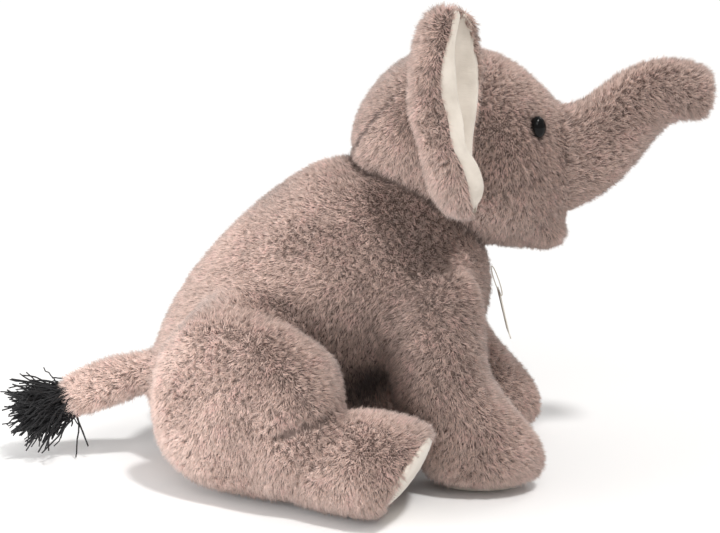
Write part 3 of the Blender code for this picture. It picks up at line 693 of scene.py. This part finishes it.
def build_pile(forms, surface, owner, bodies, hollow, seam_tree, materials, painted_shade_spots, bare):
    """The pile of every form, in pieces that go with the CAD bodies."""
    tree = BVHTree.FromObject(surface, bpy.context.evaluated_depsgraph_get())
    face_owner = np.array([owner[polygon.vertices[0]] for polygon in surface.data.polygons])
    # painted shade in the creases, by how hollow the surface is
    depth = np.clip((hollow - CREASE_FROM) / (CREASE_TO - CREASE_FROM), 0, 1) * CREASE_PAINTED_SHADE
    surface_arrays = mesh_arrays(surface.data)
    tri_owner = face_owner[surface_arrays[3]]
    random = np.random.default_rng(7)
    pieces = {}
    for index, body in enumerate(bodies):
        kind = body.replace("_left", "").replace("_right", "")
        seam = seam_tree if body in SEAM else None
        found = [shown_roots(surface_arrays, tri_owner, index, depth, seam, body in MID_SEAMS, random)]
        found += [hidden_roots(obj, tree, face_owner, index, random) for obj in forms[body]]
        own_points, own_normals, dark = (np.concatenate(field) for field in zip(*found))
        keep = np.ones(len(own_points), bool)
        for centre, axis, upward, half_up, half_across, reach in bare:
            offset = own_points - np.array(centre)
            along = offset @ np.array(axis)
            up = offset @ np.array(upward)
            across = offset @ np.cross(np.array(upward), np.array(axis))
            keep &= ~((np.abs(along) < reach) & ((up / half_up) ** 2 + (across / half_across) ** 2 < 1))
        own_points, own_normals, dark = own_points[keep], own_normals[keep], dark[keep]
        parts = max(1, math.ceil(len(own_points) / MOST_STRANDS))
        order = np.argsort(own_points[:, 1], kind="stable")
        lean, length, width = lean_for(own_points, own_normals, kind, random)
        length = length * (1 - DARK_SHORTER * np.clip(dark, 0, 4))
        shade = shades_for(own_points, random, dark, painted_shade_spots)
        pieces[body] = []
        for part, own_part in enumerate(np.array_split(order, parts)):
            name = f"{body}_pile" + (f"_{part + 1}" if parts > 1 else "")
            roots = own_points[own_part] - own_normals[own_part] * ROOT_DEPTH
            pieces[body].append(strand_mesh(name, roots, *(
                values[own_part] for values in (own_normals, lean, length, width, shade)), materials))
    return pieces


# ---- ears
# Each row: height, x of the front edge, of the fold, of the plush edge and of the suede edge, y of the sewn
# edge, and the share of the full width. The sewn edge follows the side of the head as far up as that goes.
EAR_ROWS = [
    (0.148, 0.0566, 0.0532, 0.056, 0.0564, 0.052, 0.22),
    (0.1515, 0.057, 0.0472, 0.0566, 0.0572, 0.052, 0.42),
    (0.1555, 0.0573, 0.044, 0.056, 0.0585, 0.0522, 0.56),
    (0.1595, 0.0575, 0.0416, 0.0549, 0.061, 0.0524, 0.66),
    (0.1665, 0.0576, 0.0384, 0.0535, 0.0615, 0.0527, 0.8),
    (0.176, 0.0578, 0.035, 0.05, 0.0585, 0.0532, 0.91),
    (0.186, 0.0583, 0.0322, 0.0455, 0.0522, 0.0528, 0.98),
    (0.198, 0.0597, 0.0298, 0.0432, 0.051, 0.0502, 1.0),
    (0.21, 0.0606, 0.0285, 0.0402, 0.0482, 0.0482, 1.0),
    (0.2215, 0.0604, 0.0288, 0.0402, 0.0465, 0.0484, 0.95),
    (0.2315, 0.059, 0.0308, 0.042, 0.0462, 0.0498, 0.85),
    (0.24, 0.058, 0.0332, 0.0445, 0.047, 0.0514, 0.7),
    (0.246, 0.056, 0.0368, 0.0462, 0.0478, 0.053, 0.48),
    (0.2492, 0.0528, 0.0412, 0.047, 0.0478, 0.0545, 0.22),
]
EAR_DEPTH, EAR_LEAST_DEPTH = 0.032, 0.15  # across the fold, and the share of it that a row of no width keeps
EAR_HALF_THICK, EAR_WAVES, EAR_WAVE_LENGTH = 0.0021, 0.0006, 0.03
EAR_BACK = 0.001  # the ears stand this far behind the rows
LEFT_EAR_DROP = Vector((0.0065, 0.0, -0.0095))
EAR_ALONG, EAR_UP = 64, 72
EAR_SEAM = 6 / 8  # the share of the way along the fold where plush turns to suede
TURN_FROM, TOP_FROM = 0.64, 0.93  # how far up the plush starts to turn over the front edge, and over the top
MOST_TURNED = 4  # columns of the ear's grid
EAR_DENSITY = 1.1  # times the other pile


def spline_through(values, count):
    """A smooth curve through evenly numbered control values."""
    values = np.asarray(values, float)
    last = len(values) - 1
    t = np.linspace(0, last, count)
    i = np.minimum(t.astype(int), last - 1)
    f = (t - i)[(...,) + (None,) * (values.ndim - 1)]
    p0, p1 = values[np.maximum(i - 1, 0)], values[i]
    p2, p3 = values[i + 1], values[np.minimum(i + 2, last)]
    return 0.5 * (2 * p1 + (p2 - p0) * f + (2 * p0 - 5 * p1 + 4 * p2 - p3) * f ** 2
                  + (3 * p1 - p0 - 3 * p2 + p3) * f ** 3)


def ear_grid(side):
    """Points of the ear's middle surface, by height and along the fold."""
    rows = []
    for height, front, fold, plush, rim, inner, share in EAR_ROWS:
        depth = EAR_DEPTH * (EAR_LEAST_DEPTH + (1 - EAR_LEAST_DEPTH) * share)
        plan = [
            (front, inner), (front + (fold - front) * 0.38, inner + 0.08 * depth),
            (front + (fold - front) * 0.74, inner + 0.2 * depth),
            (front + (fold - front) * 0.96, inner + 0.42 * depth),
            (fold + 0.0004, inner + 0.66 * depth), (fold + (plush - fold) * 0.3, inner + 0.9 * depth),
            (plush, inner + 1.0 * depth), ((plush + rim) / 2, inner + 0.99 * depth),
            (rim, inner + 0.93 * depth),
        ]
        rows.append([(x, y, height) for x, y in plan])
    rows = spline_through(rows, EAR_UP)
    rows = np.stack([spline_through(row, EAR_ALONG) for row in rows])
    rows[:, :, 0] += AHEAD - EAR_BACK
    rows[:, :, 1] *= side
    if side > 0:
        rows += np.array(LEFT_EAR_DROP)
    return rows


def turned_columns(height):
    """How many columns of suede the plush covers along the front edge at this share of the height."""
    share = min(1.0, max(0.0, (height - TURN_FROM) / (TOP_FROM - TURN_FROM)))
    return 1 + int((MOST_TURNED - 0.01) * share ** 1.2)


def build_ear(label, side, suede, backing, pile_materials, random):
    grid = ear_grid(side)
    up, along = grid.shape[:2]
    d_up, d_along = np.gradient(grid, axis=0), np.gradient(grid, axis=1)
    normal = unit((np.cross(d_up, d_along) * side).reshape(-1, 3)).reshape(grid.shape)
    v, u = np.linspace(0, 1, up)[:, None], np.linspace(0, 1, along)[None, :]
    edge = np.clip(np.minimum(np.minimum(u, 1 - u) / 0.06, np.minimum(v, 1 - v) / 0.05), 0, 1)
    thick = EAR_HALF_THICK * np.sqrt(np.clip(edge * (2 - edge), 0, 1))
    waves = wave_field(grid.reshape(-1, 3), EAR_WAVE_LENGTH, 41).reshape(up, along) * EAR_WAVES
    outer = (grid + normal * (thick + waves)[:, :, None]).reshape(-1, 3)
    inner = (grid - normal * (thick - waves)[:, :, None]).reshape(-1, 3)
    normal = normal.reshape(-1, 3)
    faces, is_suede = [], []
    size = up * along
    for row in range(up - 1):
        for column in range(along - 1):
            a, b = row * along + column, row * along + column + 1
            c, d = b + along, a + along
            faces += [(a, b, c, d), (size + d, size + c, size + b, size + a)]
            is_suede += [column / (along - 1) > EAR_SEAM, True]
    border = ([(0, j) for j in range(along)] + [(i, along - 1) for i in range(1, up)]
              + [(up - 1, j) for j in range(along - 2, -1, -1)] + [(i, 0) for i in range(up - 2, 0, -1)])
    for (i, j), (k, m) in zip(border, border[1:] + border[:1]):
        a, b = i * along + j, k * along + m
        faces.append((b, a, size + a, size + b))
        is_suede.append(max(j, m) / (along - 1) > EAR_SEAM)
    fabric = built(f"ear_{label}_fabric", np.concatenate([outer, inner]).tolist(), faces)
    fabric.data.materials.append(suede)
    fabric.data.materials.append(backing)
    fabric.data.polygons.foreach_set("material_index", np.where(is_suede, 0, 1).astype(np.int32))
    face_outwards(fabric.data, welded=True)
    fabric.data.shade_smooth()

    # strands near an edge turn out over it
    near_top = np.clip(1 - (1 - v) / 0.1, 0, 1) ** 1.5
    near_bottom = np.clip(1 - v / 0.08, 0, 1) ** 1.5
    near_front = np.clip(1 - u / 0.1, 0, 1) ** 1.5
    near_seam = np.clip(1 - (EAR_SEAM - u) / 0.07, 0, 1) * (u <= EAR_SEAM)
    upward = 1.4 * (near_top - near_bottom) * np.ones_like(u)
    onward = (1.1 * near_seam - 1.2 * near_front) * np.ones_like(v)
    pull = (unit(d_up.reshape(-1, 3)) * upward.reshape(-1, 1)
            + unit(d_along.reshape(-1, 3)) * onward.reshape(-1, 1))

    def rooted(surface, outward, columns):
        """Roots, normals and pull of the pile on one face of the ear, over the given columns of each row."""
        quads = np.array([(index[i, j], index[i, j + 1], index[i + 1, j + 1], index[i + 1, j])
                          for i in range(up - 1) for j in range(columns(i))])
        tris = np.concatenate([quads[:, [0, 1, 2]], quads[:, [0, 2, 3]]])
        return scattered(surface, outward, tris, STRANDS_PER_M2 * EAR_DENSITY, random, pull)

    def turned(row):
        if row < int(TURN_FROM * up):
            return 0
        return along - 1 if row > TOP_FROM * up else turned_columns(row / up)

    index = np.arange(size).reshape(up, along)
    outside = rooted(outer, normal, lambda row: int(EAR_SEAM * (along - 1)))
    inside = rooted(inner, -normal, turned)
    roots, outward, pull = (np.concatenate(both) for both in zip(outside, inside))
    lean, length, width = lean_for(roots, outward, "ear", random)
    shade = shades_for(roots, random)
    pile = strand_mesh(f"ear_{label}_pile", roots - outward * ROOT_DEPTH, outward, unit(lean + pull), length,
                       width, shade, pile_materials)
    return fabric, pile


# ---- soles, eyes, tuft, tag
SOLE_SEGMENTS = 56
SOLE_RINGS = [  # the share of the pad's half size, and the height as a share of the crown
    (0.0, 1.0), (0.25, 0.96), (0.5, 0.82), (0.72, 0.6), (0.88, 0.36), (0.97, 0.12),
]
SOLE_TUCK = [(1.0, -0.0004), (0.98, -0.0016), (0.6, -0.002), (0.0, -0.002)]  # the share, and metres


def sole_pad(name, centre, outward, upward, half_up, half_across, crown):
    """A crowned oval of suede with a tucked edge."""
    outward, upward = outward.normalized(), upward.normalized()
    across = upward.cross(outward)
    made = bmesh.new()
    rows = []
    for share, lift in [(share, crown * height) for share, height in SOLE_RINGS] + SOLE_TUCK:
        row = []
        for step in range(SOLE_SEGMENTS if share else 1):
            turn = 2 * math.pi * step / SOLE_SEGMENTS
            point = centre + upward * (math.cos(turn) * half_up * share)
            point = point + across * (math.sin(turn) * half_across * share) + outward * lift
            point.z = max(point.z, 0.0)
            row.append(made.verts.new(point))
        rows.append(row)
    for first, second in zip(rows, rows[1:]):
        for step in range(SOLE_SEGMENTS):
            this, after = step, (step + 1) % SOLE_SEGMENTS
            corners = ((first, this), (second, this), (second, after), (first, after))
            made.faces.new(dict.fromkeys(row[place % len(row)] for row, place in corners))
    bmesh.ops.recalc_face_normals(made, faces=made.faces)
    pad = finished(name, made)
    pad.data.shade_smooth()
    pad.data.materials.append(suede)
    return pad


EYE_SIZE, EYE_SUNK = (0.0045, 0.0058, 0.0038), 0.0008
EYE_FROM_CAD = Vector((0.0006, 0.0, 0.0022))  # each eye sits a little ahead of the CAD one, and above it


def eye_outward(side):
    return Vector((0.48, side * 0.87, 0.12)).normalized()


def build_eye(label, side):
    low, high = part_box(f"eye_{label}")
    centre = (low + high) / 2 + EYE_FROM_CAD
    eye = ellipsoid(f"eye_{label}_dome", Vector(), EYE_SIZE, 40, 24)
    outward = eye_outward(side)
    turn = outward.to_track_quat("Z", "Y").to_matrix().to_4x4()
    eye.data.transform(Matrix.Translation(centre - outward * EYE_SUNK) @ turn)
    eye.data.shade_smooth()
    eye.data.materials.append(black)
    return eye, centre


def tube(points, radius, sides, taper):
    """Vertices and faces of a closed tube along points."""
    points = np.asarray(points)
    tangent = unit(np.gradient(points, axis=0))
    reference = np.array([0.0, 0.0, 1.0]) if abs(tangent[0, 2]) < 0.8 else np.array([1.0, 0.0, 0.0])
    side = unit(np.cross(tangent, reference))
    other = np.cross(side, tangent)
    verts, faces = [], []
    for row, point in enumerate(points):
        size = radius * (1 - (1 - taper) * row / (len(points) - 1))
        for corner in range(sides):
            turn = 2 * math.pi * corner / sides
            verts.append(point + (side[row] * math.cos(turn) + other[row] * math.sin(turn)) * size)
    for row in range(len(points) - 1):
        for corner in range(sides):
            following = (corner + 1) % sides
            a, b = row * sides + corner, row * sides + following
            faces.append((a, b, b + sides, a + sides))
    last = (len(points) - 1) * sides
    faces.append(tuple(range(sides)))
    faces.append(tuple(last + corner for corner in reversed(range(sides))))
    return verts, faces


def mesh_from(name, verts, faces, material, smooth=True):
    obj = built(name, [tuple(v) for v in verts], faces)
    face_outwards(obj.data)
    if smooth:
        obj.data.shade_smooth()
    obj.data.materials.append(material)
    return obj


TUFT_STRANDS, STRAND_STEPS = 850, 7
TUFT_AT, TUFT_WAY, TUFT_SPREAD = (-0.164, 0.0, 0.0325), (-0.93, 0.0, -0.24), (0.16, 0.28, 0.27)
STRAY_EVERY, STRAY_WAY = 170, (0.3, 0.2, -1.0)  # a few strands hang from the tail's underside
TUFT_ROOT = 0.0046  # how widely the strands are rooted


def build_tuft(random):
    """A tied bunch of black yarn at the tail's end, each strand with its own curl."""
    root = np.array(placed(*TUFT_AT))
    verts, faces = [], []
    for strand in range(TUFT_STRANDS):
        spread = random.normal(size=3) * np.array(TUFT_SPREAD)
        direction = np.array(TUFT_WAY) + spread
        if strand % STRAY_EVERY == 0:
            direction = np.array(STRAY_WAY) + spread * 0.7
        direction /= np.linalg.norm(direction)
        length = random.uniform(0.016, 0.0275)
        start = root + np.clip(random.normal(size=3), -1.6, 1.6) * TUFT_ROOT
        curl = random.normal(size=3)
        curl -= direction * (curl @ direction)
        curl /= np.linalg.norm(curl)
        bend = random.uniform(-0.35, 0.55)
        wobble = random.uniform(0.0006, 0.0018)
        path = []
        for step in range(STRAND_STEPS + 1):
            share = step / STRAND_STEPS
            point = start + direction * length * share + curl * bend * length * share ** 2
            point = point + curl * wobble * math.sin(share * random.uniform(6, 8) + strand)
            point[2] -= 0.1 * length * share ** 2
            point[2] = max(point[2], 0.0012)
            point[0] = max(point[0], CAD_LOW.x - 0.004)
            path.append(point)
        own_verts, own_faces = tube(path, random.uniform(0.00042, 0.0006), 4, 0.75)
        start_index = len(verts)
        verts += own_verts
        faces += [tuple(i + start_index for i in f) for f in own_faces]
    return mesh_from("tail_tuft_yarn", verts, faces, yarn)


TAG_HOLE, TAG_KNOT, TAG_LEAN = Vector((0.0788, 0.0, 0.0925)), Vector((0.0732, 0.0, 0.1085)), 14.0
TAG_LENGTH, TAG_HALF_THICK, TAG_CORNER, TAG_BOW = 0.026, 0.00025, 0.0022, 0.0012
HOLE_BELOW_EDGE = 0.003
THREAD_STEPS, THREAD_RADIUS, THREAD_SPREAD = 40, 0.0003, Vector((0.9, 0.45, 0.2)) * 0.0013


def build_tag():
    low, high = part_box("hang_tag")
    half_wide = (high.y - low.y) / 2
    lean = math.radians(TAG_LEAN)
    down = Vector((math.sin(lean), 0.0, -math.cos(lean)))
    across = Vector((0.0, 1.0, 0.0))
    out = across.cross(down).normalized()
    corners = []
    for cx, cz, start in ((1, 0, 0), (-1, 0, 90), (-1, 1, 180), (1, 1, 270)):
        for step in range(7):
            turn = math.radians(start + step * 15)
            x = cx * (half_wide - TAG_CORNER) + TAG_CORNER * math.cos(turn)
            z = (TAG_LENGTH - TAG_CORNER if cz else TAG_CORNER) - TAG_CORNER * math.sin(turn)
            corners.append((x, z))
    verts = [TAG_HOLE + across * x + down * (z - HOLE_BELOW_EDGE)
             + out * (lift + TAG_BOW * (x / half_wide) ** 2)
             for lift in (-TAG_HALF_THICK, TAG_HALF_THICK) for x, z in corners]
    count = len(corners)
    faces = [tuple(range(count)), tuple(count + i for i in reversed(range(count)))]
    faces += [(i, (i + 1) % count, count + (i + 1) % count, count + i) for i in range(count)]
    card = mesh_from("hang_tag_card", verts, faces, card_material, smooth=False)
    middle, reach = (TAG_HOLE + TAG_KNOT) / 2, (TAG_KNOT - TAG_HOLE) / 2
    turns = [2 * math.pi * step / THREAD_STEPS for step in range(THREAD_STEPS + 1)]
    path = [middle + reach * math.cos(turn) * 1.03 + THREAD_SPREAD * math.sin(turn) for turn in turns]
    return card, mesh_from("tag_thread", *tube(path, THREAD_RADIUS, 6, 1.0), thread_material)


# ---- building
build_studio()

# The backing is coloured far darker than the pile: painted shade in the gaps between strands and along the
# seam, where no strands grow.
backing_material = mottled_material("Plush_backing", (0.11, 0.08, 0.07), (0.19, 0.138, 0.12), 180.0)
pile_materials = [plain_material(f"Pile_{index + 1}", shade, 0.8, 0.2, 0.2)
                  for index, shade in enumerate(PILE_SHADES)]
suede = suede_material()
yarn = mottled_material("Black_yarn", (0.004, 0.004, 0.005), (0.014, 0.013, 0.014), 900.0, 0.6, 0.04, 0.4)
black = plain_material("Eye_black", (0.003, 0.0025, 0.0025), 0.14, 0.0, 0.16, 0.05)
card_material = mottled_material("Card", (0.7, 0.66, 0.58), (0.78, 0.74, 0.67), 120.0, 0.7, 0.0, 0.1)
thread_material = mottled_material("Thread", (0.62, 0.57, 0.48), (0.74, 0.69, 0.6), 1500.0, 0.8, 0.2, 0.4)

forms = build_forms()
surface, owner, bodies, hollow, seam_tree = merged_surface(forms)
snap_forms(forms, surface)

eyes = {label: build_eye(label, side) for label, side in SIDES.items()}
# painted shade around each eye, at its top and front
painted_shade_spots = [(tuple(centre + Vector((0.0025, 0.0, 0.0025))), 0.0085, 4.0) for _, centre in eyes.values()]
for side in SIDES.values():
    painted_shade_spots.append(((0.005, side * 0.045, 0.052), 0.018, 5.0))  # painted shade in the pocket at the groin
for side in SIDES.values():
    painted_shade_spots.append(((0.035, side * 0.06, 0.095), 0.048, 0.95))  # painted shadow of the head on the chest and shoulders, under the cheeks
bare = [(tuple(eyes[label][1]), tuple(eye_outward(side)), (0, 0, 1), 0.0051, 0.0043, 0.02)
        for label, side in SIDES.items()]

sole_yaw, sole_pitch = math.radians(SOLE_YAW), math.radians(SOLE_PITCH)
soles = {}
for label, side in SIDES.items():
    outward = Vector((math.cos(sole_yaw) * math.cos(sole_pitch),
                      side * math.sin(sole_yaw) * math.cos(sole_pitch), -math.sin(sole_pitch)))
    upward = (Vector((0, 0, 1)) - outward * outward.z).normalized()
    centre = placed(SOLE_CENTRE[0], side * SOLE_CENTRE[1], SOLE_CENTRE[2]) - outward * PILE
    soles[f"hind_leg_{label}"] = sole_pad(f"hind_sole_{label}_pad", centre, outward, upward, SOLE_HALF_UP,
                                          SOLE_HALF_ACROSS, SOLE_CROWN)
    shown = SOLE_HALF_UP * SOLE_SHOWN, SOLE_HALF_ACROSS * SOLE_SHOWN
    bare.append((tuple(centre), tuple(outward), tuple(upward), *shown, 0.006))
    centre = placed(FORE_SOLE_AT[0] + (FORELEG_STEP if side > 0 else 0.0), side * FORE_SOLE_AT[1], 0.0)
    soles[f"foreleg_{label}"] = sole_pad(f"fore_sole_{label}_pad", centre + Vector((0, 0, 0.0017)),
                                         Vector((0, 0, -1)), Vector((1, 0, 0)), *FORE_SOLE_SIZE)

patches = backing_patches(surface, owner, bodies)
pile = build_pile(forms, surface, owner, bodies, hollow, seam_tree, pile_materials, painted_shade_spots, bare)
bpy.data.objects.remove(surface)

ear_random = np.random.default_rng(17)
ears = {label: build_ear(label, side, suede, backing_material, pile_materials, ear_random)
        for label, side in SIDES.items()}
tuft = build_tuft(np.random.default_rng(29))
card, thread = build_tag()

for parts in list(forms.values()) + [list(patches.values())]:
    for obj in parts:
        obj.data.materials.append(backing_material)


STANDS_FOR = {body: [f"{body}_cover", f"{body}_stuffing"] for body in forms}
STANDS_FOR["body"] = ["body_panel_left", "body_panel_right", "body_stuffing", "seat_granule_bag"]
STANDS_FOR["head"] = ["head_panel_left", "head_panel_right", "head_stuffing"]
STANDS_FOR["trunk"].append("trunk_tip")

for body, parts in forms.items():
    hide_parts(*STANDS_FOR[body])
    if body == "head":
        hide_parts("lower_lip")
    for obj in parts + [patches[body]] + pile[body]:
        if body == "body":
            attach(obj, "body")
        else:
            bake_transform(obj)

for body, pad in soles.items():
    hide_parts(body.replace("hind_leg", "hind_sole").replace("foreleg", "fore_sole"))
    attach(pad, body)

for label, side in SIDES.items():
    fabric, ear_pile = ears[label]
    for obj in (fabric, ear_pile):
        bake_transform(obj)
    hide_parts(f"ear_inner_{label}")
    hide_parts(f"ear_outer_{label}")
    eye = eyes[label][0]
    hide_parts(f"eye_{label}", f"eye_washer_{label}")
    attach(eye, "head")

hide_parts("tail_tuft")
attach(tuft, "tail")
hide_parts("hang_tag")
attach(card, "tag")
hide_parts("tag_loop")
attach(thread, "body")
